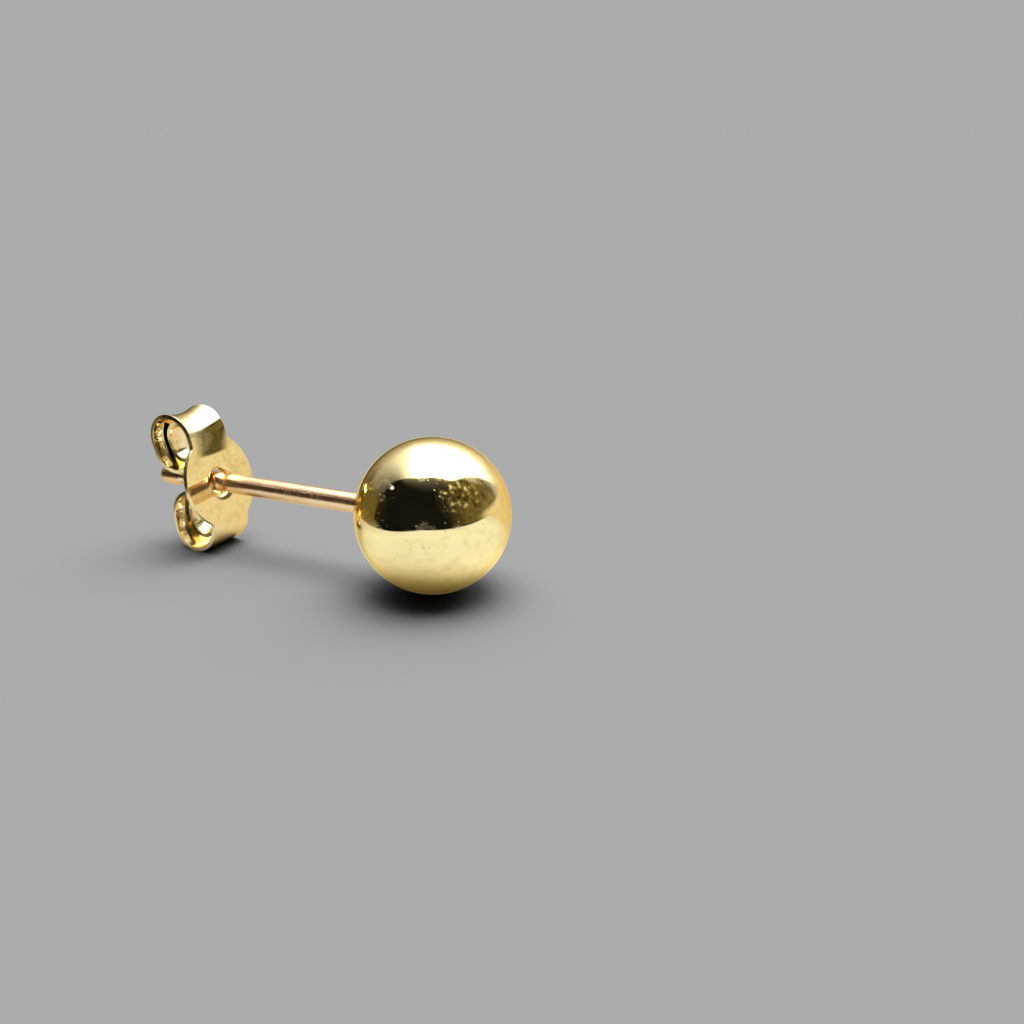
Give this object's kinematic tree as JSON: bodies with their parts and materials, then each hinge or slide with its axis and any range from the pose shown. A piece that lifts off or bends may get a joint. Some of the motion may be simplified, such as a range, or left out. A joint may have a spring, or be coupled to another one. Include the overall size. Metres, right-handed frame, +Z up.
{
  "type": "ball stud earring",
  "caption": "Polished gold ball stud earring: a hollow ball soldered to a straight wire post, held behind the ear by a push-on butterfly back with rolled scrolls.",
  "frame": {"origin": "on the surface the earring rests on, under the middle of its bounding box", "axes": "+Z up from the surface, +X level from the post's tip towards the ball; the post's axis lies in the XZ plane and slopes down 0.65 degrees towards its tip"},
  "size_m": [0.0164, 0.006, 0.006],
  "materials": {
    "yellow_gold": "mirror polish, pale yellow gold"
  },
  "bodies": {
    "stud": {"ball": "yellow_gold", "post": "yellow_gold"},
    "back": {"butterfly_back": "yellow_gold"}
  },
  "joints": [
    {"name": "back_slide", "type": "slide", "parent": "stud", "child": "back", "axis": [-0.9999, 0, -0.0113], "range_m": [-0.007, 0.01]}
  ]
}
